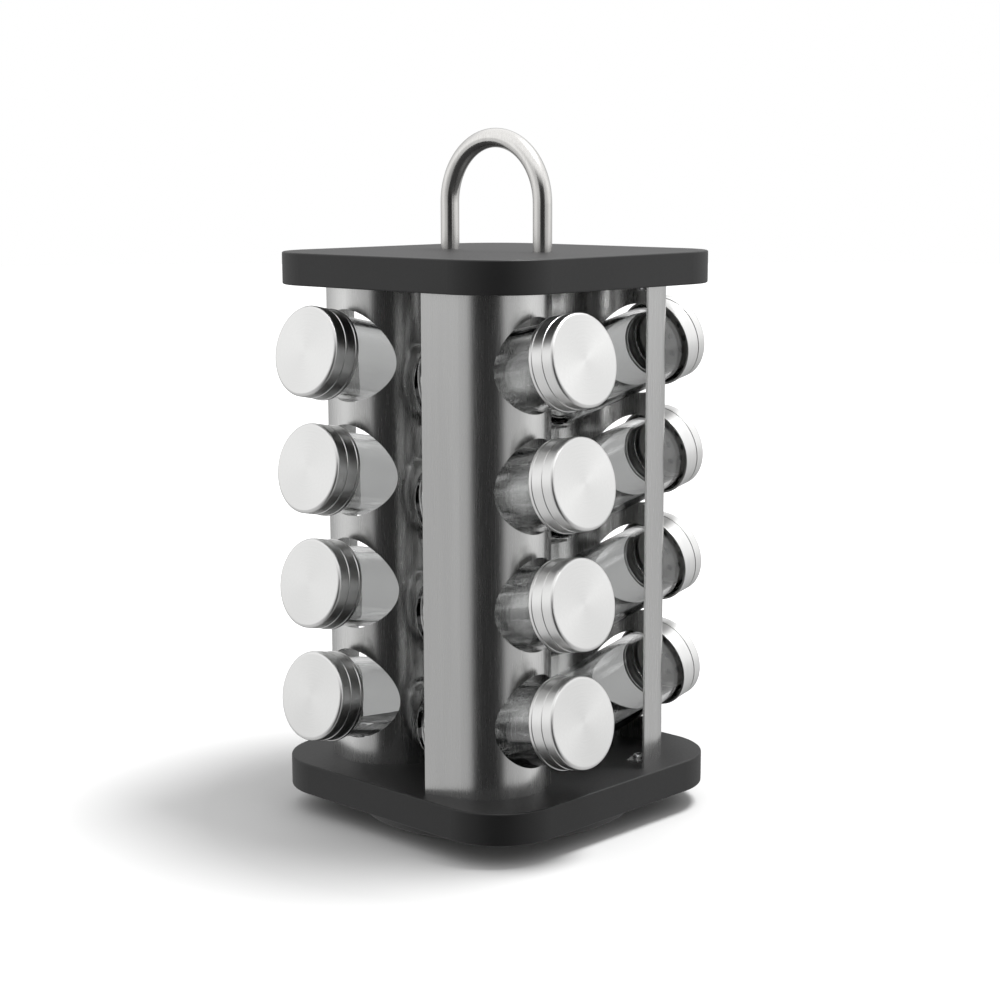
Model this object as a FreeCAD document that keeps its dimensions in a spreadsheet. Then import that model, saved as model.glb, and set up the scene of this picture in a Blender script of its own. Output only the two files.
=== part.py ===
"""Spice carousel: a square tower that turns on a ball-bearing foot.

Four identical bent sheet panels stand between two rounded square boards, each panel a
quarter turn from the last. Their inner walls close a square core. Every panel has a column
of four holes, and every hole holds a glass jar with a metal lid, leaning back so that it
can't slide out. A rod handle stands on the top board.

Frame: +Z up, origin on the table at the centre of the foot, the front column facing -Y.
Units are millimetres.
"""
import FreeCAD, Part

import math
import os

import Sketcher
from FreeCAD import Placement, Rotation, Vector

DIMENSIONS = {
    # boards
    "board_side": 170.0,
    "board_corner": 33.4,
    "board_thick": 16.0,
    "board_edge": 0.8,
    "base_height": 11.5,
    "panel_height": 242.0,
    # bent sheet panel, seen from above, front column
    "sheet_thick": 1.0,
    "strip_end_x": -77.5,
    "strip_end_y": -26.5,
    "bend_x": -41.9,
    "bend_y": -34.5,
    "bend_radius": 31.0,
    "wall_end_x": -10.9,
    "wall_end_y": 10.2,
    "hole_x": -39.3,
    "hole_radius": 22.5,
    "hole_lift": 1.3,
    "rest_y": -42.0,
    "rest_length": 19.5,
    "rest_width": 12.0,
    "rest_drop": 39.0,
    "tab_width": 12.0,
    "tab_depth": 12.0,
    "tab_screw_in": 7.5,
    "wall_tab_y": -30.0,
    # jar rows and columns
    "jar_x": -37.8,
    "lid_face_y": -93.9,
    "top_row_height": 239.3,
    "row_pitch": 57.2,
    "jar_tilt": 11.5,
    # glass jar, measured along its own axis from the lid's face
    "glass_radius": 20.2,
    "glass_bore": 17.4,
    "glass_mouth": 1.3,
    "glass_shoulder": 15.5,
    "glass_floor": 93.0,
    "glass_end": 97.0,
    "neck_radius": 19.3,
    "bead_radius": 20.9,
    "bead_one": 3.6,
    "bead_two": 8.6,
    "bead_width": 1.8,
    "shoulder_round": 0.6,
    "heel_round": 3.0,
    # lid
    "lid_radius": 22.2,
    "lid_bore": 21.4,
    "lid_top_thick": 0.8,
    "lid_length": 15.0,
    "lid_face_round": 1.6,
    "lid_groove": 5.8,
    "lid_groove_width": 1.0,
    "lid_groove_depth": 0.25,
    "lid_bead_radius": 22.5,
    "lid_bead_width": 1.7,
    # handle
    "rod_radius": 4.75,
    "leg_spread": 32.0,
    "leg_height": 23.5,
    "handle_screw_radius": 2.0,
    "handle_screw_depth": 9.0,
    # screws and bolt
    "screw_radius": 1.45,
    "screw_length": 10.0,
    "screw_head_radius": 3.0,
    "screw_head_height": 2.0,
    "race_screw_radius": 1.2,
    "fit_gap": 0.05,
    "bolt_radius": 4.0,
    # foot and bearing
    "foot_radius": 70.7,
    "foot_bottom": 1.5,
    "foot_top": 10.7,
    "foot_recess_radius": 52.0,
    "foot_recess_floor": 3.5,
    "foot_boss_radius": 16.0,
    "foot_boss_top": 8.5,
    "foot_boss_floor": 5.5,
    "foot_bolt_recess": 13.0,
    "pad_radius": 7.0,
    "pad_circle": 60.0,
    "race_inner": 34.0,
    "race_channel": 44.0,
    "race_outer": 49.5,
    "race_flange": 1.2,
    "race_thick": 2.8,
    "race_screw_circle": 46.6,
    "ball_circle": 39.0,
    "ball_radius": 2.5,
    "ball_height": 7.5,
    "cage_inner": 34.6,
    "cage_outer": 43.4,
    "cage_thick": 1.2,
}
ROWS = 4
BALLS = 24
PADS = 6
RACE_SCREWS = 4
TURNS = {"front": 0.0, "right": 90.0, "rear": 180.0, "left": 270.0}

doc = FreeCAD.newDocument("spice_carousel")
sheet = doc.addObject("Spreadsheet::Sheet", "Dimensions")
for line, (alias, size) in enumerate(DIMENSIONS.items(), start=1):
    sheet.set("A%d" % line, alias)
    sheet.set("B%d" % line, str(size))
    sheet.setAlias("B%d" % line, alias)
doc.recompute()


class Dim:
    """A size with its value now and the sheet expression that it comes from."""

    def __init__(self, value, text):
        self.value = value
        self.text = text

    def __add__(self, other):
        other = as_dim(other)
        return Dim(self.value + other.value, "(%s + %s)" % (self.text, other.text))

    def __sub__(self, other):
        other = as_dim(other)
        return Dim(self.value - other.value, "(%s - %s)" % (self.text, other.text))

    def __mul__(self, other):
        other = as_dim(other)
        return Dim(self.value * other.value, "(%s * %s)" % (self.text, other.text))

    def __neg__(self):
        return self * -1


def as_dim(size):
    """A plain number or a Dim, as a Dim."""
    return size if isinstance(size, Dim) else Dim(float(size), "%g" % size)


def dim(alias):
    """The driving dimension of that name."""
    return Dim(float(sheet.get(alias)), "Dimensions.%s" % alias)


def value(alias):
    """The driving dimension's number."""
    return dim(alias).value


# ---------------------------------------------------------------- modelling helpers

def new_body(label):
    body = doc.addObject("PartDesign::Body", label)
    body.Label = label
    return body


def origin_feature(body, role):
    return [item for item in body.Origin.OriginFeatures if item.Role == role][0]


def new_sketch(body, name, plane, offset=None):
    """A sketch on one of the body's own origin planes."""
    sketch = body.newObject("Sketcher::SketchObject", name)
    sketch.AttachmentSupport = [(origin_feature(body, plane), "")]
    sketch.MapMode = "FlatFace"
    if offset is not None:
        sketch.AttachmentOffset = offset
    return sketch


def bind(sketch, kind, first, first_point, second, second_point, size):
    """A driving constraint from one point to another, tied to the sheet."""
    size = as_dim(size)
    index = sketch.addConstraint(
        Sketcher.Constraint(kind, first, first_point, second, second_point, size.value))
    sketch.setExpression("Constraints[%d]" % index, size.text)


def pin_point(sketch, geometry, point, x, y):
    """Fix a sketch point at x, y from the sketch's origin."""
    x = as_dim(x)
    y = as_dim(y)
    if x.value == 0:
        sketch.addConstraint(Sketcher.Constraint("PointOnObject", geometry, point, -2))
    else:
        bind(sketch, "DistanceX", -1, 1, geometry, point, x)
    if y.value == 0:
        sketch.addConstraint(Sketcher.Constraint("PointOnObject", geometry, point, -1))
    else:
        bind(sketch, "DistanceY", -1, 1, geometry, point, y)


def add_line(sketch, start, end):
    return sketch.addGeometry(Part.LineSegment(Vector(*start, 0), Vector(*end, 0)), False)


def add_arc(sketch, centre, radius, start, end):
    """An arc that turns counter-clockwise from start to end."""
    first = math.atan2(start[1] - centre[1], start[0] - centre[0])
    last = math.atan2(end[1] - centre[1], end[0] - centre[0])
    if last < first:
        last += 2 * math.pi
    circle = Part.Circle(Vector(*centre, 0), Vector(0, 0, 1), radius)
    return sketch.addGeometry(Part.ArcOfCircle(circle, first, last), False)


def join(sketch, first, first_point, second, second_point):
    sketch.addConstraint(
        Sketcher.Constraint("Coincident", first, first_point, second, second_point))


def polygon(sketch, points):
    """A closed outline of straight lines with every corner tied to the sheet."""
    corners = [(as_dim(x), as_dim(y)) for x, y in points]
    count = len(corners)
    for index in range(count):
        x0, y0 = corners[index]
        x1, y1 = corners[(index + 1) % count]
        add_line(sketch, (x0.value, y0.value), (x1.value, y1.value))
    for index in range(count):
        join(sketch, index, 2, (index + 1) % count, 1)
        pin_point(sketch, index, 1, *corners[index])


def circle(sketch, x, y, radius):
    """A circle with its centre and radius tied to the sheet."""
    x = as_dim(x)
    y = as_dim(y)
    radius = as_dim(radius)
    shape = Part.Circle(Vector(x.value, y.value, 0), Vector(0, 0, 1), radius.value)
    index = sketch.addGeometry(shape, False)
    constraint = sketch.addConstraint(Sketcher.Constraint("Radius", index, radius.value))
    sketch.setExpression("Constraints[%d]" % constraint, radius.text)
    pin_point(sketch, index, 3, x, y)


def pad(body, sketch, name, length):
    feature = body.newObject("PartDesign::Pad", name)
    feature.Profile = sketch
    feature.setExpression("Length", as_dim(length).text)
    doc.recompute()
    return feature


def cut(body, sketch, name, depth=None, reverse=False):
    """A pocket from the sketch, through everything unless it has a depth."""
    before = body.Shape.Volume
    feature = body.newObject("PartDesign::Pocket", name)
    feature.Profile = sketch
    feature.Reversed = reverse
    if depth is None:
        feature.Type = "ThroughAll"
    else:
        feature.setExpression("Length", as_dim(depth).text)
    doc.recompute()
    if body.Shape.Volume >= before:
        raise RuntimeError("%s cuts nothing from %s" % (name, body.Label))
    return feature


def revolve(body, sketch, name, remove=False):
    """A full turn of the sketch about its own vertical axis."""
    kind = "PartDesign::Groove" if remove else "PartDesign::Revolution"
    feature = body.newObject(kind, name)
    feature.Profile = sketch
    feature.ReferenceAxis = (sketch, ["V_Axis"])
    feature.Angle = 360.0
    doc.recompute()
    return feature


def round_edges(body, name, radius, test):
    """Round the edges of the body's tip for which test(edge) is true."""
    base = body.Tip
    names = ["Edge%d" % number
             for number, edge in enumerate(base.Shape.Edges, start=1) if test(edge)]
    feature = body.newObject("PartDesign::Fillet", name)
    feature.Base = (base, names)
    feature.setExpression("Radius", as_dim(radius).text)
    doc.recompute()
    return feature


def repeat_up(body, feature, name, pitch, count):
    """Copies of a feature at equal steps up the body's Z axis."""
    pattern = body.newObject("PartDesign::LinearPattern", name)
    pattern.Originals = [feature]
    pattern.Direction = (origin_feature(body, "Z_Axis"), [""])
    pattern.Occurrences = count
    pattern.setExpression("Length", (pitch * (count - 1)).text)
    body.Tip = pattern
    doc.recompute()


def repeat_round(body, feature, name, count):
    """Copies of a feature at equal steps about the body's Z axis."""
    pattern = body.newObject("PartDesign::PolarPattern", name)
    pattern.Originals = [feature]
    pattern.Axis = (origin_feature(body, "Z_Axis"), [""])
    pattern.Angle = 360.0
    pattern.Occurrences = count
    body.Tip = pattern
    doc.recompute()


def is_ring(edge, radius, height):
    """Whether an edge is a level circle of that radius at that height."""
    curve = edge.Curve
    if not isinstance(curve, Part.Circle):
        return False
    level = abs(edge.BoundBox.ZMin - height) < 0.01 and edge.BoundBox.ZLength < 0.01
    return level and abs(curve.Radius - radius) < 0.01


def turned_body(label, outline):
    """A solid of revolution about Z from (radius, height) corners."""
    body = new_body(label)
    sketch = new_sketch(body, label + "_section", "XZ_Plane")
    polygon(sketch, outline)
    revolve(body, sketch, label + "_turned")
    return body


def copies(label, master, places):
    """One node that holds a separate solid at each place."""
    group = doc.addObject("Part::Feature", label)
    group.Label = label
    solids = []
    for place in places:
        solid = master.Shape.copy()
        solid.Placement = place
        solids.append(solid)
    group.Shape = Part.makeCompound(solids)
    return group


# ---------------------------------------------------------------- shared places

def column_turn(column):
    return Placement(Vector(), Rotation(Vector(0, 0, 1), TURNS[column]))


def tangent_point(point, side):
    """Where the line from a sheet end touches the bend; side is -1 or +1."""
    dx = value("bend_x") - point[0]
    dy = value("bend_y") - point[1]
    reach = math.hypot(dx, dy)
    turn = side * math.asin(value("bend_radius") / reach)
    heading = math.atan2(dy, dx) + turn
    length = math.sqrt(reach ** 2 - value("bend_radius") ** 2)
    return (point[0] + length * math.cos(heading), point[1] + length * math.sin(heading))


STRIP_END = (value("strip_end_x"), value("strip_end_y"))
WALL_END = (value("wall_end_x"), value("wall_end_y"))
STRIP_BEND = tangent_point(STRIP_END, -1)
WALL_BEND = tangent_point(WALL_END, +1)
STRIP_HEADING = math.degrees(math.atan2(STRIP_BEND[1] - STRIP_END[1],
                                        STRIP_BEND[0] - STRIP_END[0]))
WALL_HEADING = math.degrees(math.atan2(WALL_END[1] - WALL_BEND[1], WALL_END[0] - WALL_BEND[0]))
PANEL_FOOT = value("base_height") + value("board_thick")
PANEL_TOP = PANEL_FOOT + value("panel_height")
BOARD_TOP = PANEL_TOP + value("board_thick")


def along(start, heading, forward, left, height=0.0):
    """A point that many millimetres forward and to the left of start."""
    angle = math.radians(heading)
    return Vector(start[0] + forward * math.cos(angle) - left * math.sin(angle),
                  start[1] + forward * math.sin(angle) + left * math.cos(angle),
                  height)


def tab_roots():
    """Each tab's near corner and heading: one on the strip and one on the inner wall."""
    strip_start = along(STRIP_END, STRIP_HEADING, 8.0, value("sheet_thick") / 2)
    wall_start = Vector(value("wall_end_x") - value("sheet_thick") / 2, value("wall_tab_y"), 0)
    return [(strip_start, STRIP_HEADING), (wall_start, WALL_HEADING)]


def tab_screw_points():
    """Plan positions of the front panel's tab screws."""
    points = []
    for start, heading in tab_roots():
        points.append(along(start, heading, value("tab_width") / 2, value("tab_screw_in")))
    return points


def all_tab_screws(height, flip):
    """Places of the tab screws of all four panels, heads down if flip is set."""
    places = []
    upside = Rotation(Vector(1, 0, 0), 180.0 if flip else 0.0)
    for column in TURNS:
        for point in tab_screw_points():
            here = Placement(Vector(point.x, point.y, height), upside)
            places.append(column_turn(column).multiply(here))
    return places


def ring_places(count, radius, height, rotation=Rotation(), start=0.0):
    """Places at equal steps round a circle about Z."""
    places = []
    for index in range(count):
        angle = math.radians(start + 360.0 * index / count)
        spot = Vector(radius * math.cos(angle), radius * math.sin(angle), height)
        places.append(Placement(spot, rotation))
    return places


def row_height(row):
    """Height of the centre of a lid's face, row 1 at the top."""
    return value("top_row_height") - value("row_pitch") * (row - 1)


def jar_place(column, row):
    """From the jar's own frame, +Z into the tower from the lid's face, to the tower's."""
    lean = Rotation(Vector(1, 0, 0), -90.0 - value("jar_tilt"))
    here = Placement(Vector(value("jar_x"), value("lid_face_y"), row_height(row)), lean)
    return column_turn(column).multiply(here)


# ---------------------------------------------------------------- boards

def make_board(label, height):
    """A square board with large round corners and lightly eased edges."""
    body = new_body(label)
    half = dim("board_side") * 0.5
    sketch = new_sketch(body, label + "_outline", "XY_Plane")
    polygon(sketch, [(-half, -half), (half, -half), (half, half), (-half, half)])
    pad(body, sketch, label + "_slab", dim("board_thick"))
    thick = value("board_thick")
    round_edges(body, label + "_corners", dim("board_corner"),
                lambda edge: abs(edge.BoundBox.ZLength - thick) < 0.01)
    round_edges(body, label + "_edges", dim("board_edge"),
                lambda edge: edge.BoundBox.ZLength < 0.01)
    body.Placement = Placement(Vector(0, 0, height), Rotation())
    return body


def drill(body, name, points, radius, height, depth):
    """Round holes upwards from a height in the body's own frame."""
    offset = Placement(Vector(0, 0, height), Rotation())
    sketch = new_sketch(body, name + "_layout", "XY_Plane", offset)
    for point in points:
        circle(sketch, point.x, point.y, radius)
    cut(body, sketch, name, depth, reverse=True)


def plan_points(places):
    return [place.Base for place in places]


def make_top_board():
    board = make_board("top_board", PANEL_TOP)
    pilot = dim("screw_radius") + dim("fit_gap")
    drill(board, "panel_pilots", plan_points(all_tab_screws(0, False)), pilot, 0,
          dim("screw_length"))
    legs = [Vector(0, side * value("leg_spread"), 0) for side in (-1, 1)]
    drill(board, "handle_holes", legs, dim("handle_screw_radius") + dim("fit_gap"), 0,
          dim("board_thick"))
    drill(board, "handle_counterbores", legs, 5.0, 0, 6.0)
    return board


def make_base_board():
    board = make_board("base_board", value("base_height"))
    pilot = dim("screw_radius") + dim("fit_gap")
    drill(board, "panel_pilots_base", plan_points(all_tab_screws(0, False)), pilot,
          value("board_thick") - value("screw_length"), dim("screw_length"))
    ring = ring_places(RACE_SCREWS, value("race_screw_circle"), 0, start=45.0)
    drill(board, "race_pilots", plan_points(ring),
          dim("race_screw_radius") + dim("fit_gap"), 0, 6.0)
    drill(board, "pivot_bore", [Vector()], dim("bolt_radius") + dim("fit_gap"), 0,
          dim("board_thick"))
    return board


# ---------------------------------------------------------------- bent sheet panels

def panel_outline(sketch):
    """The bent sheet seen from above: strip, bend and inner wall, at one thickness."""
    thick = value("sheet_thick")
    centre = (value("bend_x"), value("bend_y"))
    radius = value("bend_radius")

    def inner(point):
        """The inner face's point facing an outer one on the bend."""
        return tuple(c + (p - c) * (radius - thick) / radius for p, c in zip(point, centre))

    strip_in = along(STRIP_END, STRIP_HEADING, 0, thick)
    wall_in = along(WALL_END, WALL_HEADING, 0, thick)
    strip_in = (strip_in.x, strip_in.y)
    wall_in = (wall_in.x, wall_in.y)
    outer_strip = add_line(sketch, STRIP_END, STRIP_BEND)
    outer_bend = add_arc(sketch, centre, radius, STRIP_BEND, WALL_BEND)
    outer_wall = add_line(sketch, WALL_BEND, WALL_END)
    wall_cap = add_line(sketch, WALL_END, wall_in)
    inner_wall = add_line(sketch, wall_in, inner(WALL_BEND))
    inner_bend = add_arc(sketch, centre, radius - thick, inner(STRIP_BEND), inner(WALL_BEND))
    inner_strip = add_line(sketch, inner(STRIP_BEND), strip_in)
    strip_cap = add_line(sketch, strip_in, STRIP_END)

    join(sketch, outer_wall, 2, wall_cap, 1)
    join(sketch, wall_cap, 2, inner_wall, 1)
    join(sketch, inner_strip, 2, strip_cap, 1)
    join(sketch, strip_cap, 2, outer_strip, 1)
    join(sketch, outer_bend, 3, inner_bend, 3)
    for line, line_point, arc, arc_point in (
            (outer_strip, 2, outer_bend, 1), (outer_wall, 1, outer_bend, 2),
            (inner_wall, 2, inner_bend, 2), (inner_strip, 1, inner_bend, 1)):
        sketch.addConstraint(Sketcher.Constraint("Tangent", line, line_point, arc, arc_point))
    sketch.addConstraint(Sketcher.Constraint("Perpendicular", strip_cap, outer_strip))
    sketch.addConstraint(Sketcher.Constraint("Perpendicular", wall_cap, outer_wall))
    sketch.addConstraint(Sketcher.Constraint("Parallel", inner_strip, outer_strip))
    sketch.addConstraint(Sketcher.Constraint("Parallel", inner_wall, outer_wall))
    for arc, size in ((outer_bend, dim("bend_radius")),
                      (inner_bend, dim("bend_radius") - dim("sheet_thick"))):
        index = sketch.addConstraint(Sketcher.Constraint("Radius", arc, size.value))
        sketch.setExpression("Constraints[%d]" % index, size.text)
    pin_point(sketch, outer_bend, 3, dim("bend_x"), dim("bend_y"))
    pin_point(sketch, outer_strip, 1, dim("strip_end_x"), dim("strip_end_y"))
    pin_point(sketch, outer_wall, 2, dim("wall_end_x"), dim("wall_end_y"))


def add_box(body, name, corner, heading, length, width, height):
    """A box fused to the body, its length along the heading."""
    box = body.newObject("PartDesign::AdditiveBox", name)
    box.setExpression("Length", as_dim(length).text)
    box.setExpression("Width", as_dim(width).text)
    box.setExpression("Height", as_dim(height).text)
    box.Placement = Placement(corner, Rotation(Vector(0, 0, 1), heading))
    doc.recompute()
    return box


def make_panel(column):
    """One bent sheet: jar holes, folded screw tabs and rests for the next column's jars."""
    label = column + "_panel"
    body = new_body(label)
    outline = new_sketch(body, label + "_plan", "XY_Plane")
    panel_outline(outline)
    pad(body, outline, label + "_sheet", dim("panel_height"))

    thick = dim("sheet_thick")
    lowest = row_height(ROWS) - PANEL_FOOT
    # A lug on the inner wall runs under the end of the next column's jar. The lowest jars
    # lie just above the base board and need none.
    rest_top = row_height(ROWS - 1) - PANEL_FOOT - value("rest_drop")
    rest_corner = Vector(value("wall_end_x") - 0.95 * thick.value, value("rest_y"),
                         rest_top - thick.value)
    rest = add_box(body, label + "_rest", rest_corner, 0.0,
                   dim("rest_length"), dim("rest_width"), thick)
    repeat_up(body, rest, label + "_rests", dim("row_pitch"), ROWS - 1)
    for index, (start, heading) in enumerate(tab_roots()):
        for end, height in (("foot", 0.0), ("head", value("panel_height") - thick.value)):
            corner = Vector(start.x, start.y, height)
            add_box(body, "%s_%s_tab_%d" % (label, end, index), corner, heading,
                    dim("tab_width"), dim("tab_depth"), thick)
    screw_layout = new_sketch(body, label + "_tab_layout", "XY_Plane")
    for point in tab_screw_points():
        circle(screw_layout, point.x, point.y, dim("screw_radius") + 0.3)
    cut(body, screw_layout, label + "_tab_holes", reverse=True)

    # The jar hole is bored along the leaning jar, a little above and outside its axis.
    lift = value("hole_lift")
    tilt = math.radians(value("jar_tilt"))
    lean = Rotation(Vector(1, 0, 0), -value("jar_tilt"))
    spot = Vector(0, lowest + lift * math.cos(tilt), -value("lid_face_y") - lift * math.sin(tilt))
    layout = new_sketch(body, label + "_hole_layout", "XZ_Plane", Placement(spot, lean))
    circle(layout, dim("hole_x"), 0, dim("hole_radius"))
    hole = cut(body, layout, label + "_hole")
    repeat_up(body, hole, label + "_holes", dim("row_pitch"), ROWS)
    body.Placement = Placement(Vector(0, 0, PANEL_FOOT), Rotation(Vector(0, 0, 1), TURNS[column]))
    return body


# ---------------------------------------------------------------- handle

def make_handle():
    """One bent rod: two legs and a half circle, tapped from below for its screws."""
    body = new_body("carry_handle")
    spread = dim("leg_spread")
    rise = dim("leg_height")
    section = new_sketch(body, "rod_section", "XY_Plane")
    circle(section, 0, -spread, dim("rod_radius"))
    route = new_sketch(body, "rod_route", "YZ_Plane")
    left = (-spread.value, rise.value)
    right = (spread.value, rise.value)
    up = add_line(route, (-spread.value, 0), left)
    over = add_arc(route, (0, rise.value), spread.value, right, left)
    down = add_line(route, right, (spread.value, 0))
    route.addConstraint(Sketcher.Constraint("Tangent", up, 2, over, 2))
    route.addConstraint(Sketcher.Constraint("Tangent", down, 1, over, 1))
    pin_point(route, up, 1, -spread, 0)
    pin_point(route, down, 2, spread, 0)
    pin_point(route, over, 3, 0, rise)
    pipe = body.newObject("PartDesign::AdditivePipe", "rod")
    pipe.Profile = section
    pipe.Spine = (route, ["Edge1", "Edge2", "Edge3"])
    doc.recompute()
    legs = [Vector(0, side * spread.value, 0) for side in (-1, 1)]
    drill(body, "tapped_holes", legs, dim("handle_screw_radius") + dim("fit_gap"), 0,
          dim("handle_screw_depth"))
    body.Placement = Placement(Vector(0, 0, BOARD_TOP), Rotation())
    return body


# ---------------------------------------------------------------- screws

def make_screw(label, radius, length, head_radius, head_height, slot):
    """A pan-head screw, point up along +Z from the underside of its head."""
    screw = turned_body(label, [
        (0, -as_dim(head_height)), (as_dim(head_radius), -as_dim(head_height)),
        (as_dim(head_radius), 0), (radius, 0), (radius, length), (0, length)])
    outer = as_dim(head_radius).value
    low = -as_dim(head_height).value
    round_edges(screw, label + "_crown", slot, lambda edge: is_ring(edge, outer, low))
    floor = Placement(Vector(0, 0, low), Rotation())
    cross = new_sketch(screw, label + "_cross", "XY_Plane", floor)
    wide = as_dim(slot) * 0.5
    long = as_dim(head_radius) * 0.6
    polygon(cross, [
        (-long, -wide), (-wide, -wide), (-wide, -long), (wide, -long),
        (wide, -wide), (long, -wide), (long, wide), (wide, wide),
        (wide, long), (-wide, long), (-wide, wide), (-long, wide)])
    cut(screw, cross, label + "_drive", as_dim(head_height) * 0.6, reverse=True)
    return screw


def make_screws():
    panel_screw = make_screw("panel_screw", dim("screw_radius"), dim("screw_length"),
                             dim("screw_head_radius"), dim("screw_head_height"), 0.9)
    tab = value("sheet_thick")
    upwards = all_tab_screws(PANEL_TOP - tab, False)
    downwards = all_tab_screws(PANEL_FOOT + tab, True)
    handle_screw = make_screw("handle_screw", dim("handle_screw_radius"), 18.0, 4.2, 2.6, 1.2)
    seat = PANEL_TOP + 6.0
    legs = [Placement(Vector(0, side * value("leg_spread"), seat), Rotation())
            for side in (-1, 1)]
    race_screw = make_screw("race_screw", dim("race_screw_radius"), 2.4, 2.2, 1.0, 0.5)
    flip = Rotation(Vector(1, 0, 0), 180)
    circle_radius = value("race_screw_circle")
    lower_seat = value("foot_recess_floor") + value("race_flange")
    upper_seat = value("base_height") - value("race_flange")
    return [
        copies("panel_screws_top", panel_screw, upwards),
        copies("panel_screws_base", panel_screw, downwards),
        copies("handle_screws", handle_screw, legs),
        copies("race_screws_lower", race_screw,
               ring_places(RACE_SCREWS, circle_radius, lower_seat, flip, 45.0)),
        copies("race_screws_upper", race_screw,
               ring_places(RACE_SCREWS, circle_radius, upper_seat, Rotation(), 45.0)),
    ]


# ---------------------------------------------------------------- foot, bearing and pivot

def make_foot():
    """The disc that stays still on the table, hollowed for the bearing and the bolt."""
    low = dim("foot_bottom")
    bore = dim("bolt_radius") + dim("fit_gap")
    foot = turned_body("foot_disc", [
        (bore, dim("foot_boss_floor")), (dim("foot_bolt_recess"), dim("foot_boss_floor")),
        (dim("foot_bolt_recess"), low), (dim("foot_radius"), low),
        (dim("foot_radius"), dim("foot_top")), (dim("foot_recess_radius"), dim("foot_top")),
        (dim("foot_recess_radius"), dim("foot_recess_floor")),
        (dim("foot_boss_radius"), dim("foot_recess_floor")),
        (dim("foot_boss_radius"), dim("foot_boss_top")), (bore, dim("foot_boss_top"))])
    radius = value("foot_radius")
    round_edges(foot, "foot_rim", 1.2,
                lambda edge: is_ring(edge, radius, value("foot_top"))
                or is_ring(edge, radius, value("foot_bottom")))
    ring = ring_places(RACE_SCREWS, value("race_screw_circle"), 0, start=45.0)
    drill(foot, "lower_race_pilots", plan_points(ring),
          dim("race_screw_radius") + dim("fit_gap"), value("foot_bottom") + 0.7, 1.3)
    return foot


def make_race(label, seat, inward):
    """A bearing race: a ball channel with a screw flange; inward is +1 up or -1 down."""
    lip = seat + dim("race_flange") * inward
    face = seat + dim("race_thick") * inward
    race = turned_body(label, [
        (dim("race_inner"), seat), (dim("race_outer"), seat), (dim("race_outer"), lip),
        (dim("race_channel"), lip), (dim("race_channel"), face), (dim("race_inner"), face)])
    track = new_sketch(race, label + "_track", "XZ_Plane")
    circle(track, dim("ball_circle"), dim("ball_height"), dim("ball_radius") + dim("fit_gap"))
    revolve(race, track, label + "_channel", remove=True)
    ring = ring_places(RACE_SCREWS, value("race_screw_circle"), 0, start=45.0)
    lowest = min(seat.value, lip.value)
    drill(race, label + "_holes", plan_points(ring), dim("race_screw_radius") + 0.2,
          lowest, dim("race_flange"))
    return race


def make_cage():
    """The flat ring that keeps the balls apart."""
    low = dim("ball_height") - dim("cage_thick") * 0.5
    high = dim("ball_height") + dim("cage_thick") * 0.5
    cage = turned_body("ball_cage", [
        (dim("cage_inner"), low), (dim("cage_outer"), low),
        (dim("cage_outer"), high), (dim("cage_inner"), high)])
    offset = Placement(Vector(0, 0, low.value), Rotation())
    layout = new_sketch(cage, "ball_pocket_layout", "XY_Plane", offset)
    circle(layout, dim("ball_circle"), 0, dim("ball_radius") + dim("fit_gap"))
    pocket = cut(cage, layout, "ball_pocket", dim("cage_thick"), reverse=True)
    repeat_round(cage, pocket, "ball_pockets", BALLS)
    return cage


def make_balls():
    ball = doc.addObject("Part::Sphere", "ball")
    ball.setExpression("Radius", dim("ball_radius").text)
    doc.recompute()
    return copies("bearing_balls", ball,
                  ring_places(BALLS, value("ball_circle"), value("ball_height")))


def make_pads():
    pad_blank = turned_body("pad", [
        (0, 0), (dim("pad_radius"), 0), (dim("pad_radius"), dim("foot_bottom")),
        (0, dim("foot_bottom"))])
    radius = value("pad_radius")
    round_edges(pad_blank, "pad_edge", 0.5, lambda edge: is_ring(edge, radius, 0.0))
    return copies("foot_pads", pad_blank,
                  ring_places(PADS, value("pad_circle"), 0, start=0.0))


def make_pivot():
    """The bolt that the tower turns on, held to the base board by its nut."""
    shank = dim("bolt_radius")
    under = dim("foot_boss_floor") - 1.4
    top = as_dim(PANEL_FOOT + 5.0)
    bolt = turned_body("pivot_bolt", [
        (0, under - 2.4), (6.5, under - 2.4), (6.5, under), (shank, under),
        (shank, top), (0, top)])
    round_edges(bolt, "bolt_head_round", 1.2,
                lambda edge: is_ring(edge, 6.5, under.value - 2.4))
    washer = turned_body("pivot_washer", [
        (shank + dim("fit_gap"), under), (11.0, under),
        (11.0, under + 1.1), (shank + dim("fit_gap"), under + 1.1)])
    nut = new_body("pivot_nut")
    plan = new_sketch(nut, "nut_plan", "XY_Plane")
    across = 13.0
    corner = across / math.sqrt(3)
    polygon(plan, [(corner * math.cos(math.radians(60 * side)),
                    corner * math.sin(math.radians(60 * side))) for side in range(6)])
    circle(plan, 0, 0, shank + dim("fit_gap"))
    pad(nut, plan, "nut_block", 6.5)
    nut.Placement = Placement(Vector(0, 0, PANEL_FOOT), Rotation())
    return [bolt, washer, nut]


# ---------------------------------------------------------------- jars and lids

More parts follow.
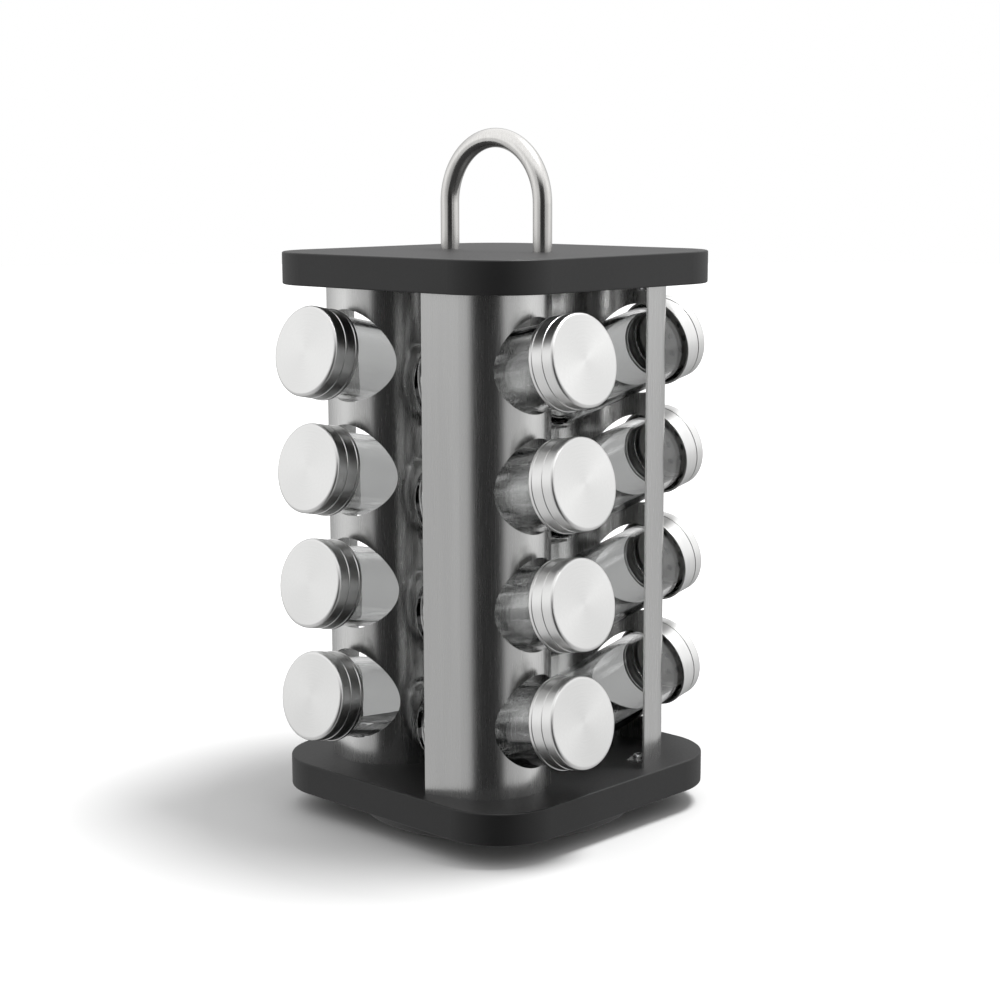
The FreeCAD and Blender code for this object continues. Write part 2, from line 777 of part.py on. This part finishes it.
def make_jar(column, row):
    """A straight-sided glass jar with a beaded neck, +Z towards its closed end."""
    label = "jar_glass_%s_%d" % (column, row)
    mouth = dim("glass_mouth")
    neck = dim("neck_radius")
    bead = dim("bead_radius")
    bore = dim("glass_bore")
    one = dim("bead_one")
    two = dim("bead_two")
    wide = dim("bead_width")
    step = dim("glass_shoulder")
    body = turned_body(label, [
        (bore, mouth), (neck, mouth),
        (neck, one), (bead, one + 0.5), (bead, one + wide - 0.5), (neck, one + wide),
        (neck, two), (bead, two + 0.5), (bead, two + wide - 0.5), (neck, two + wide),
        (neck, step), (dim("glass_radius"), step), (dim("glass_radius"), dim("glass_end")),
        (0, dim("glass_end")), (0, dim("glass_floor")), (bore, dim("glass_floor"))])
    radius = value("glass_radius")
    round_edges(body, label + "_shoulder", dim("shoulder_round"),
                lambda edge: is_ring(edge, radius, value("glass_shoulder")))
    round_edges(body, label + "_heel", dim("heel_round"),
                lambda edge: is_ring(edge, radius, value("glass_end"))
                or is_ring(edge, value("glass_bore"), value("glass_floor")))
    body.Placement = jar_place(column, row)
    return body


def make_lid(column, row):
    """A pressed metal screw lid: round-edged face, ring groove and rolled rim."""
    label = "jar_lid_%s_%d" % (column, row)
    outer = dim("lid_radius")
    groove = dim("lid_groove")
    depth = outer - dim("lid_groove_depth")
    ease = dim("lid_groove_depth")
    groove_end = groove + dim("lid_groove_width")
    rim = dim("lid_bead_radius")
    rim_start = dim("lid_length") - dim("lid_bead_width")
    body = turned_body(label, [
        (0, 0), (outer, 0), (outer, groove), (depth, groove + ease),
        (depth, groove_end), (outer, groove_end + ease), (outer, rim_start - 0.3),
        (rim, rim_start), (rim, dim("lid_length")), (dim("lid_bore"), dim("lid_length")),
        (dim("lid_bore"), dim("lid_top_thick")), (0, dim("lid_top_thick"))])
    radius = value("lid_radius")
    round_edges(body, label + "_face", dim("lid_face_round"),
                lambda edge: is_ring(edge, radius, 0.0))
    round_edges(body, label + "_rim", 0.35,
                lambda edge: is_ring(edge, value("lid_bead_radius"), value("lid_length")))
    body.Placement = jar_place(column, row)
    return body


# ---------------------------------------------------------------- assembly and export

def build():
    parts = [make_top_board(), make_base_board(), make_handle(), make_foot(), make_pads()]
    lower_seat = dim("foot_recess_floor")
    parts.append(make_race("lower_race", lower_seat, 1))
    parts.append(make_race("upper_race", dim("base_height"), -1))
    parts += [make_cage(), make_balls()]
    parts += make_pivot()
    parts += make_screws()
    for column in TURNS:
        parts.append(make_panel(column))
        for row in range(1, ROWS + 1):
            parts.append(make_jar(column, row))
            parts.append(make_lid(column, row))
    return parts


def check(parts):
    """Stop if any object failed to build or any sub-part is not a sound solid."""
    for item in doc.Objects:
        if "Invalid" in item.State or "Error" in item.State:
            raise RuntimeError("%s is %s" % (item.Label, item.State))
    for item in parts:
        if item.Shape.isNull() or not item.Shape.isValid():
            raise RuntimeError("%s has no valid shape" % item.Label)


def export(parts):
    os.makedirs("parts", exist_ok=True)
    for item in parts:
        item.Shape.exportStep("parts/%s.step" % item.Label)
        box = item.Shape.BoundBox
        print("%-24s %8.0f mm3  z %6.1f to %6.1f" % (
            item.Label, item.Shape.Volume, box.ZMin, box.ZMax))


sub_parts = build()
doc.recompute()
check(sub_parts)
export(sub_parts)
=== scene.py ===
"""Looks for the revolving spice rack: materials, sifter inserts, studio, camera."""
import math

import bmesh
import bpy
from mathutils import Matrix, Vector


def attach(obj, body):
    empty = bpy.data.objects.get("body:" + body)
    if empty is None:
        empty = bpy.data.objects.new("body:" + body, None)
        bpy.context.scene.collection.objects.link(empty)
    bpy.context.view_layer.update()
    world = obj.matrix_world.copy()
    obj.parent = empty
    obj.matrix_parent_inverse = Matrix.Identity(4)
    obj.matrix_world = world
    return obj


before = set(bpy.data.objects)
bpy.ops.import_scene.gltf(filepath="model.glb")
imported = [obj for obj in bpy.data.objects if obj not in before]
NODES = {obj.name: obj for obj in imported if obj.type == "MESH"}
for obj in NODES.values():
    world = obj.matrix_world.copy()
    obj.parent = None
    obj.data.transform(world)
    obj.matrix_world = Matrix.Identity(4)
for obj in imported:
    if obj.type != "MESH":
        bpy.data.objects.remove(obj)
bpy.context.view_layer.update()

# ---------------------------------------------------------------- jar places, as in the CAD
TILT = math.radians(11.5)
JAR_X = -0.0378
LID_FACE_Y = -0.0939
TOP_ROW = 0.2393
ROW_PITCH = 0.0572
ROWS = (1, 2, 3, 4)
TURNS = {"front": 0.0, "right": 90.0, "rear": 180.0, "left": 270.0}


def jar_matrix(column, row):
    """A jar's own frame: +Z into the rack along the jar, origin at the lid's face."""
    turn = Matrix.Rotation(math.radians(TURNS[column]), 4, "Z")
    place = Matrix.Translation((JAR_X, LID_FACE_Y, TOP_ROW - ROW_PITCH * (row - 1)))
    lean = Matrix.Rotation(-math.pi / 2 - TILT, 4, "X")
    return turn @ place @ lean


# ---------------------------------------------------------------- node helpers

class Shader:
    """A new material and short calls for wiring its nodes."""

    def __init__(self, name):
        self.mat = bpy.data.materials.new(name)
        self.mat.use_nodes = True
        self.tree = self.mat.node_tree
        self.bsdf = self.tree.nodes["Principled BSDF"]

    def node(self, kind, **settings):
        node = self.tree.nodes.new(kind)
        for key, setting in settings.items():
            setattr(node, key, setting)
        return node

    def wire(self, source, target):
        self.tree.links.new(source, target)

    def put(self, target, source):
        """Wire a socket or set a plain value."""
        if hasattr(source, "is_output"):
            self.wire(source, target)
        else:
            target.default_value = source

    def base(self, **values):
        for key, value in values.items():
            self.bsdf.inputs[key.replace("_", " ")].default_value = value

    def coords(self):
        return self.node("ShaderNodeTexCoord").outputs["Object"]

    def scaled(self, vector, scale):
        mapping = self.node("ShaderNodeMapping")
        self.wire(vector, mapping.inputs["Vector"])
        mapping.inputs["Scale"].default_value = scale
        return mapping.outputs["Vector"]

    def noise(self, vector, scale, detail=2.0, rough=0.5):
        node = self.node("ShaderNodeTexNoise")
        self.wire(vector, node.inputs["Vector"])
        node.inputs["Scale"].default_value = scale
        node.inputs["Detail"].default_value = detail
        node.inputs["Roughness"].default_value = rough
        return node.outputs["Fac"]

    def span(self, value, low, high, start=0.0, end=1.0):
        node = self.node("ShaderNodeMapRange")
        self.wire(value, node.inputs["Value"])
        node.inputs["From Min"].default_value = start
        node.inputs["From Max"].default_value = end
        node.inputs["To Min"].default_value = low
        node.inputs["To Max"].default_value = high
        return node.outputs["Result"]

    def math(self, operation, first, second=0.0):
        node = self.node("ShaderNodeMath", operation=operation)
        self.put(node.inputs[0], first)
        self.put(node.inputs[1], second)
        return node.outputs[0]

    def ramp(self, value, stops):
        node = self.node("ShaderNodeValToRGB")
        self.wire(value, node.inputs["Fac"])
        elements = node.color_ramp.elements
        while len(elements) < len(stops):
            elements.new(0.5)
        for element, (place, colour) in zip(elements, stops):
            element.position = place
            element.color = (*colour, 1.0)
        return node.outputs["Color"]

    def bump(self, height, strength, distance):
        node = self.node("ShaderNodeBump")
        self.wire(height, node.inputs["Height"])
        node.inputs["Strength"].default_value = strength
        node.inputs["Distance"].default_value = distance
        self.wire(node.outputs["Normal"], self.bsdf.inputs["Normal"])


# ---------------------------------------------------------------- materials

def board_lacquer():
    """Satin black lacquer with a faint orange peel."""
    s = Shader("board_lacquer")
    s.base(IOR=1.45, Specular_IOR_Level=0.42)
    here = s.coords()
    fine = s.noise(here, 900.0, 3.0)
    cloud = s.noise(here, 25.0, 2.0)
    s.wire(s.ramp(cloud, [(0.3, (0.004, 0.004, 0.0042)), (0.7, (0.006, 0.006, 0.0062))]),
           s.bsdf.inputs["Base Color"])
    s.wire(s.span(fine, 0.46, 0.56), s.bsdf.inputs["Roughness"])
    s.bump(fine, 0.12, 0.0002)
    return s.mat


def brushed_sheet():
    """Stainless sheet with a fine upright grain."""
    s = Shader("brushed_sheet")
    s.base(Metallic=1.0)
    here = s.coords()
    grain = s.noise(s.scaled(here, (1.0, 1.0, 0.02)), 3400.0, 2.0, 0.5)
    broad = s.noise(s.scaled(here, (1.0, 1.0, 0.05)), 160.0, 2.0)
    s.wire(s.ramp(broad, [(0.3, (0.54, 0.54, 0.535)), (0.7, (0.57, 0.57, 0.565))]),
           s.bsdf.inputs["Base Color"])
    s.wire(s.span(grain, 0.20, 0.28, 0.3, 0.7), s.bsdf.inputs["Roughness"])
    s.bump(grain, 0.03, 0.0001)
    return s.mat


def polished_rod():
    s = Shader("polished_rod")
    s.base(Metallic=1.0)
    here = s.coords()
    grain = s.noise(s.scaled(here, (1.0, 1.0, 0.05)), 1800.0, 3.0)
    s.wire(s.ramp(grain, [(0.3, (0.50, 0.49, 0.48)), (0.7, (0.58, 0.575, 0.56))]),
           s.bsdf.inputs["Base Color"])
    s.wire(s.span(grain, 0.14, 0.24), s.bsdf.inputs["Roughness"])
    s.bump(grain, 0.06, 0.0001)
    return s.mat


def clear_glass():
    s = Shader("clear_glass")
    s.base(IOR=1.5, Transmission_Weight=1.0, Roughness=0.0)
    here = s.coords()
    wave = s.noise(here, 70.0, 1.0)
    s.wire(s.ramp(wave, [(0.3, (0.975, 0.98, 0.978)), (0.7, (0.985, 0.99, 0.988))]),
           s.bsdf.inputs["Base Color"])
    s.bump(wave, 0.08, 0.0008)
    return s.mat


def spun_lid(column):
    """Stainless lid: the highlight runs round the lid's own axis, as on a turned face."""
    s = Shader("spun_lid_" + column)
    s.base(Metallic=1.0, Anisotropic=0.55)
    here = s.coords()
    turn = s.node("ShaderNodeVectorRotate", rotation_type="Z_AXIS")
    s.wire(here, turn.inputs["Vector"])
    turn.inputs["Angle"].default_value = -math.radians(TURNS[column])
    parts = s.node("ShaderNodeSeparateXYZ")
    s.wire(turn.outputs["Vector"], parts.inputs["Vector"])
    side = s.math("SUBTRACT", parts.outputs["X"], JAR_X)
    back = s.math("SUBTRACT", parts.outputs["Y"], LID_FACE_Y)
    drop = s.math("MULTIPLY", back, math.tan(TILT))
    level = s.math("SUBTRACT", s.math("ADD", parts.outputs["Z"], drop), TOP_ROW)
    row = s.math("ROUND", s.math("DIVIDE", level, ROW_PITCH))
    rise = s.math("SUBTRACT", level, s.math("MULTIPLY", row, ROW_PITCH))
    rise = s.math("MULTIPLY", rise, math.cos(TILT))

    round_axis = s.node("ShaderNodeCombineXYZ")
    s.wire(s.math("MULTIPLY", rise, -math.cos(TILT)), round_axis.inputs["X"])
    s.wire(s.math("MULTIPLY", side, math.sin(TILT)), round_axis.inputs["Y"])
    s.wire(s.math("MULTIPLY", side, math.cos(TILT)), round_axis.inputs["Z"])
    unturn = s.node("ShaderNodeVectorRotate", rotation_type="Z_AXIS")
    s.wire(round_axis.outputs["Vector"], unturn.inputs["Vector"])
    unturn.inputs["Angle"].default_value = math.radians(TURNS[column])
    world = s.node("ShaderNodeVectorTransform", vector_type="VECTOR",
                   convert_from="OBJECT", convert_to="WORLD")
    s.wire(unturn.outputs["Vector"], world.inputs["Vector"])
    s.wire(world.outputs["Vector"], s.bsdf.inputs["Tangent"])

    reach = s.math("SQRT", s.math("ADD", s.math("MULTIPLY", side, side),
                                  s.math("MULTIPLY", rise, rise)))
    rings = s.node("ShaderNodeCombineXYZ")
    s.wire(reach, rings.inputs["X"])
    s.wire(back, rings.inputs["Y"])
    grooves = s.noise(rings.outputs["Vector"], 2600.0, 2.0, 0.6)
    s.wire(s.ramp(grooves, [(0.3, (0.56, 0.56, 0.555)), (0.7, (0.61, 0.61, 0.605))]),
           s.bsdf.inputs["Base Color"])
    s.wire(s.span(grooves, 0.28, 0.38, 0.3, 0.7), s.bsdf.inputs["Roughness"])
    s.bump(grooves, 0.10, 0.00008)
    return s.mat


def plated_steel(name, colour, low, high):
    s = Shader(name)
    s.base(Metallic=1.0)
    here = s.coords()
    cloud = s.noise(here, 300.0, 3.0)
    dark = tuple(part * 0.9 for part in colour)
    s.wire(s.ramp(cloud, [(0.3, dark), (0.7, colour)]), s.bsdf.inputs["Base Color"])
    s.wire(s.span(cloud, low, high), s.bsdf.inputs["Roughness"])
    s.bump(s.noise(here, 2500.0, 2.0), 0.08, 0.0001)
    return s.mat


def moulded(name, dark, light, low, high, grain, strength):
    """Plastic or rubber with a fine moulded grain."""
    s = Shader(name)
    here = s.coords()
    fine = s.noise(here, grain, 3.0)
    s.wire(s.ramp(s.noise(here, 60.0, 2.0), [(0.3, dark), (0.7, light)]),
           s.bsdf.inputs["Base Color"])
    s.wire(s.span(fine, low, high), s.bsdf.inputs["Roughness"])
    s.bump(fine, strength, 0.0002)
    return s.mat


def dress(names, mat):
    """Give CAD nodes a material in all their slots."""
    for name in names:
        node = NODES[name]
        if not node.material_slots:
            node.data.materials.append(mat)
        for index in range(len(node.material_slots)):
            node.material_slots[index].material = mat


zinc = plated_steel("bright_zinc", (0.60, 0.60, 0.61), 0.20, 0.34)
dress(["top_board", "base_board"], board_lacquer())
dress([column + "_panel" for column in TURNS], brushed_sheet())
dress(["carry_handle"], polished_rod())
dress(["panel_screws_top", "panel_screws_base", "handle_screws", "race_screws_lower",
       "race_screws_upper", "pivot_bolt", "pivot_washer", "pivot_nut"], zinc)
dress(["lower_race", "upper_race"], plated_steel("race_steel", (0.50, 0.50, 0.49), 0.28, 0.42))
dress(["bearing_balls"], plated_steel("ball_steel", (0.66, 0.66, 0.66), 0.05, 0.10))
dress(["foot_disc"], moulded("foot_plastic", (0.012, 0.012, 0.012), (0.018, 0.018, 0.018),
                             0.45, 0.6, 1600.0, 0.2))
dress(["foot_pads"], moulded("foot_rubber", (0.018, 0.018, 0.018), (0.026, 0.026, 0.026),
                             0.75, 0.9, 900.0, 0.3))
nylon = moulded("white_nylon", (0.62, 0.62, 0.60), (0.70, 0.70, 0.68), 0.35, 0.5, 1200.0, 0.1)
dress(["ball_cage"], nylon)
glass = clear_glass()
for column in TURNS:
    dress(["jar_glass_%s_%d" % (column, row) for row in ROWS], glass)
    dress(["jar_lid_%s_%d" % (column, row) for row in ROWS], spun_lid(column))


# ---------------------------------------------------------------- sifter inserts

def add_ring(bm, profile, segments=64):
    """A closed ring turned about Z from (radius, height) corners, in order."""
    loops = []
    for index in range(segments):
        angle = 2 * math.pi * index / segments
        loops.append([bm.verts.new((r * math.cos(angle), r * math.sin(angle), z))
                      for r, z in profile])
    count = len(profile)
    for index in range(segments):
        here = loops[index]
        after = loops[(index + 1) % segments]
        for corner in range(count):
            follow = (corner + 1) % count
            bm.faces.new((here[corner], after[corner], after[follow], here[follow]))


# Radii, and depths behind the lid's face.
WALL_INNER = 0.0165
WALL_OUTER = 0.0171
LIP_RADIUS = 0.0190
LIP_TOP = 0.0009
LIP_UNDER = 0.00125
LIP_ROOT = 0.0013    # the lip is a little thicker where it meets the wall
WALL_END = 0.0070
PLATE_RADIUS = 0.0166    # overlaps the wall slightly, so no gap shows
PLATE_TOP = 0.0022
PLATE_THICK = 0.0008
HOLE_RADIUS = 0.0017
HOLE_CIRCLE = 0.0095
HOLES = 8
ROUND_HANDLE = 0.5523    # Bezier handle of a quarter circle, for a radius of 1


def sifter_plate(radius, low, thick):
    """A flat disc with a ring of round holes and one in the middle."""
    curve = bpy.data.curves.new("sifter_plate", "CURVE")
    curve.dimensions = "2D"
    curve.fill_mode = "BOTH"
    curve.extrude = thick / 2
    curve.resolution_u = 12
    rings = [(0.0, 0.0, radius), (0.0, 0.0, HOLE_RADIUS)]
    for index in range(HOLES):
        angle = 2 * math.pi * index / HOLES
        rings.append((HOLE_CIRCLE * math.cos(angle), HOLE_CIRCLE * math.sin(angle), HOLE_RADIUS))
    for x, y, r in rings:
        spline = curve.splines.new("BEZIER")
        spline.bezier_points.add(3)
        spline.use_cyclic_u = True
        reach = r * ROUND_HANDLE
        for quarter, point in enumerate(spline.bezier_points):
            angle = quarter * math.pi / 2
            out = Vector((math.cos(angle), math.sin(angle), 0))
            along = Vector((-math.sin(angle), math.cos(angle), 0))
            centre = Vector((x, y, 0))
            point.co = centre + out * r
            point.handle_left = point.co - along * reach
            point.handle_right = point.co + along * reach
    holder = bpy.data.objects.new("sifter_plate", curve)
    bpy.context.scene.collection.objects.link(holder)
    bpy.context.view_layer.update()
    mesh = bpy.data.meshes.new_from_object(holder)
    bpy.data.objects.remove(holder)
    mesh.transform(Matrix.Translation((0, 0, low + thick / 2)))
    return mesh


def sifter_mesh():
    """The push-in insert in the jar's mouth: a lip, a short wall and a pierced plate."""
    plate = sifter_plate(PLATE_RADIUS, PLATE_TOP, PLATE_THICK)
    bm = bmesh.new()
    bm.from_mesh(plate)
    add_ring(bm, [(WALL_INNER, LIP_TOP), (LIP_RADIUS, LIP_TOP), (LIP_RADIUS, LIP_UNDER),
                  (WALL_OUTER, LIP_ROOT), (WALL_OUTER, WALL_END), (WALL_INNER, WALL_END)])
    bmesh.ops.recalc_face_normals(bm, faces=bm.faces)
    mesh = bpy.data.meshes.new("sifter")
    bm.to_mesh(mesh)
    bm.free()
    mesh.materials.append(nylon)
    return mesh


sifter = sifter_mesh()
for column in TURNS:
    for row in ROWS:
        piece = bpy.data.objects.new("sifter_%s_%d" % (column, row), sifter)
        bpy.context.scene.collection.objects.link(piece)
        piece.matrix_world = jar_matrix(column, row)
        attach(piece, "jar_%s_%d" % (column, row))


# ---------------------------------------------------------------- studio

CAMERA_TURN = math.radians(46.15)
CAMERA_DIP = math.radians(-9.43)
CAMERA_ROLL = math.radians(-0.15)
CAMERA_PLACE = Vector((-0.7242, -0.6985, 0.3262))


def make_camera():
    data = bpy.data.cameras.new("camera")
    data.lens = 72.0
    data.sensor_width = 36.0
    data.clip_start = 0.05
    data.clip_end = 50.0
    camera = bpy.data.objects.new("camera", data)
    bpy.context.scene.collection.objects.link(camera)
    ahead = Vector((math.sin(CAMERA_TURN) * math.cos(CAMERA_DIP),
                    math.cos(CAMERA_TURN) * math.cos(CAMERA_DIP), math.sin(CAMERA_DIP)))
    facing = ahead.to_track_quat("-Z", "Y").to_matrix().to_4x4()
    roll = Matrix.Rotation(CAMERA_ROLL, 4, "Z")
    camera.matrix_world = Matrix.Translation(CAMERA_PLACE) @ facing @ roll
    bpy.context.scene.camera = camera


def make_light(name, place, target, size, power):
    data = bpy.data.lights.new(name, "AREA")
    data.shape = "DISK"
    data.size = size
    data.energy = power
    light = bpy.data.objects.new(name, data)
    bpy.context.scene.collection.objects.link(light)
    light.location = place
    aim = Vector(target) - Vector(place)
    light.rotation_mode = "QUATERNION"
    light.rotation_quaternion = aim.to_track_quat("-Z", "Y")


FLOOR_RADIUS = 6.0
FLOOR_DROP = 0.0002    # just under the rubber pads
FLOOR_GLOW = 0.7
GLOW_REACH = (0.15, 0.45)    # distances from the turning axis between which the glow comes up


def make_floor():
    """A pale floor that glows more with distance, so no horizon shows; mirrors don't see it."""
    bm = bmesh.new()
    bmesh.ops.create_circle(bm, cap_ends=True, radius=FLOOR_RADIUS, segments=96)
    mesh = bpy.data.meshes.new("floor")
    bm.to_mesh(mesh)
    bm.free()
    s = Shader("pale_floor")
    s.base(Roughness=0.9, Specular_IOR_Level=0.0)
    here = s.coords()
    s.wire(s.ramp(s.noise(here, 3.0, 1.0), [(0.3, (0.46, 0.46, 0.46)), (0.7, (0.48, 0.48, 0.48))]),
           s.bsdf.inputs["Base Color"])
    reach = s.node("ShaderNodeVectorMath", operation="LENGTH")
    s.wire(here, reach.inputs[0])
    s.bsdf.inputs["Emission Color"].default_value = (1.0, 1.0, 1.0, 1.0)
    s.wire(s.span(reach.outputs["Value"], 0.0, FLOOR_GLOW, *GLOW_REACH),
           s.bsdf.inputs["Emission Strength"])
    mesh.materials.append(s.mat)
    floor = bpy.data.objects.new("floor", mesh)
    bpy.context.scene.collection.objects.link(floor)
    floor.location = (0, 0, -FLOOR_DROP)
    floor.visible_glossy = False
    floor.visible_transmission = False


# Brightness of the surround by direction: 0 is beyond the rack and 1 is behind the camera,
# by the cosine of the turn between them.
WORLD_LEVELS = [(0.0, 0.42), (0.25, 0.80), (0.42, 1.0), (0.58, 1.0), (0.68, 0.82),
                (0.80, 0.65), (0.925, 0.56), (0.957, 0.04), (1.0, 0.03)]
WORLD_STRENGTH = 1.5
OVERHEAD = (0.35, 0.65)    # the rise of direction over which the sides pass into a white ceiling
UNDER = (-0.12, 0.06)    # and over which they dim to the level below
UNDER_LEVEL = 0.66


def world_range(tree, value, start, end, low=0.0, high=1.0):
    node = tree.nodes.new("ShaderNodeMapRange")
    tree.links.new(value, node.inputs["Value"])
    node.inputs["From Min"].default_value = start
    node.inputs["From Max"].default_value = end
    node.inputs["To Min"].default_value = low
    node.inputs["To Max"].default_value = high
    return node.outputs["Result"]


def side_level(tree, parts):
    """The surround's level by compass direction alone."""
    flat = tree.nodes.new("ShaderNodeCombineXYZ")
    tree.links.new(parts.outputs["X"], flat.inputs["X"])
    tree.links.new(parts.outputs["Y"], flat.inputs["Y"])
    unit = tree.nodes.new("ShaderNodeVectorMath")
    unit.operation = "NORMALIZE"
    tree.links.new(flat.outputs["Vector"], unit.inputs[0])
    facing = tree.nodes.new("ShaderNodeVectorMath")
    facing.operation = "DOT_PRODUCT"
    tree.links.new(unit.outputs["Vector"], facing.inputs[0])
    facing.inputs[1].default_value = (-math.sin(CAMERA_TURN), -math.cos(CAMERA_TURN), 0.0)
    level = tree.nodes.new("ShaderNodeValToRGB")
    tree.links.new(world_range(tree, facing.outputs["Value"], -1.0, 1.0), level.inputs["Fac"])
    elements = level.color_ramp.elements
    while len(elements) < len(WORLD_LEVELS):
        elements.new(0.5)
    for element, (place, bright) in zip(elements, WORLD_LEVELS):
        element.position = place
        element.color = (bright, bright, bright, 1.0)
    return level.outputs["Color"]


def make_world():
    """A pale surround, brightest to each side and dim behind the camera, seen as plain white."""
    world = bpy.data.worlds.new("studio")
    bpy.context.scene.world = world
    world.use_nodes = True
    tree = world.node_tree
    tree.nodes.clear()
    coords = tree.nodes.new("ShaderNodeTexCoord")
    parts = tree.nodes.new("ShaderNodeSeparateXYZ")
    tree.links.new(coords.outputs["Generated"], parts.inputs["Vector"])
    top = tree.nodes.new("ShaderNodeMix")
    top.data_type = "RGBA"
    tree.links.new(world_range(tree, parts.outputs["Z"], *OVERHEAD), top.inputs["Factor"])
    tree.links.new(side_level(tree, parts), top.inputs["A"])
    top.inputs["B"].default_value = (1.0, 1.0, 1.0, 1.0)
    dimmed = tree.nodes.new("ShaderNodeVectorMath")
    dimmed.operation = "SCALE"
    tree.links.new(top.outputs["Result"], dimmed.inputs[0])
    tree.links.new(world_range(tree, parts.outputs["Z"], *UNDER, UNDER_LEVEL, 1.0),
                   dimmed.inputs["Scale"])
    background = tree.nodes.new("ShaderNodeBackground")
    tree.links.new(dimmed.outputs["Vector"], background.inputs["Color"])
    background.inputs["Strength"].default_value = WORLD_STRENGTH

    plain = tree.nodes.new("ShaderNodeBackground")
    plain.inputs["Color"].default_value = (1.0, 1.0, 1.0, 1.0)
    path = tree.nodes.new("ShaderNodeLightPath")
    mix = tree.nodes.new("ShaderNodeMixShader")
    tree.links.new(path.outputs["Is Camera Ray"], mix.inputs["Fac"])
    tree.links.new(background.outputs["Background"], mix.inputs[1])
    tree.links.new(plain.outputs["Background"], mix.inputs[2])
    output = tree.nodes.new("ShaderNodeOutputWorld")
    tree.links.new(mix.outputs["Shader"], output.inputs["Surface"])


make_camera()
make_world()
make_floor()
make_light("high_softbox", place=(0.52, -0.50, 2.1), target=(0, 0, 0.15), size=0.8, power=62.0)
bpy.context.scene.view_settings.view_transform = "Standard"
